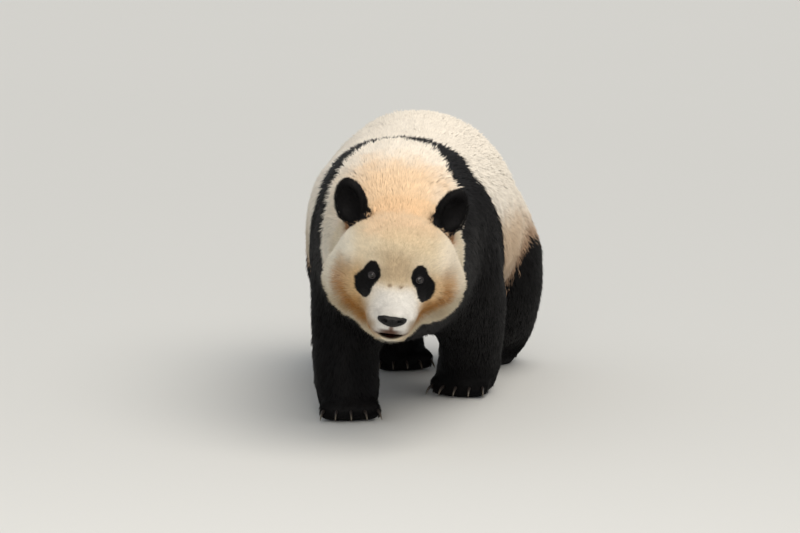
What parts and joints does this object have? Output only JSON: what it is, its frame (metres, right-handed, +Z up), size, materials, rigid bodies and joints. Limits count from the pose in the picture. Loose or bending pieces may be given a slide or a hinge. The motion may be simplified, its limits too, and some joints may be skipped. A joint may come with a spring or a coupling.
{
  "type": "giant panda",
  "caption": "Life-size giant panda as a still museum-style model, walking on all fours with its head held low; it stands on the flat soles of its paws.",
  "frame": {"origin": "centre of the animal's outline on the floor", "axes": "+Z up; the animal faces -Y and its left side is +X"},
  "size_m": [0.6394, 1.531, 0.7062],
  "materials": {
    "cream_fur": "soft matt coat",
    "black_fur": "soft coat with a faint sheen",
    "claw_horn": "satin horn",
    "nose_leather": "moist pebbled leather",
    "eye": "wet gloss",
    "tongue": "moist"
  },
  "bodies": {
    "root": {"trunk": "cream_fur", "shoulders": "black_fur", "neck": "cream_fur", "head": "cream_fur", "jaw": "cream_fur", "tail": "cream_fur", "ear_left": "black_fur", "ear_right": "black_fur", "eye_left": "eye", "eye_right": "eye", "nose": "nose_leather", "tongue": "tongue", "foreleg_right": "black_fur", "forepaw_right": "black_fur", "claw_foreleg_right_1": "claw_horn", "claw_foreleg_right_2": "claw_horn", "claw_foreleg_right_3": "claw_horn", "claw_foreleg_right_4": "claw_horn", "claw_foreleg_right_5": "claw_horn", "foreleg_left": "black_fur", "forepaw_left": "black_fur", "claw_foreleg_left_1": "claw_horn", "claw_foreleg_left_2": "claw_horn", "claw_foreleg_left_3": "claw_horn", "claw_foreleg_left_4": "claw_horn", "claw_foreleg_left_5": "claw_horn", "hind_leg_right": "black_fur", "hind_paw_right": "black_fur", "claw_hind_leg_right_1": "claw_horn", "claw_hind_leg_right_2": "claw_horn", "claw_hind_leg_right_3": "claw_horn", "claw_hind_leg_right_4": "claw_horn", "claw_hind_leg_right_5": "claw_horn", "hind_leg_left": "black_fur", "hind_paw_left": "black_fur", "claw_hind_leg_left_1": "claw_horn", "claw_hind_leg_left_2": "claw_horn", "claw_hind_leg_left_3": "claw_horn", "claw_hind_leg_left_4": "claw_horn", "claw_hind_leg_left_5": "claw_horn"}
  },
  "joints": []
}
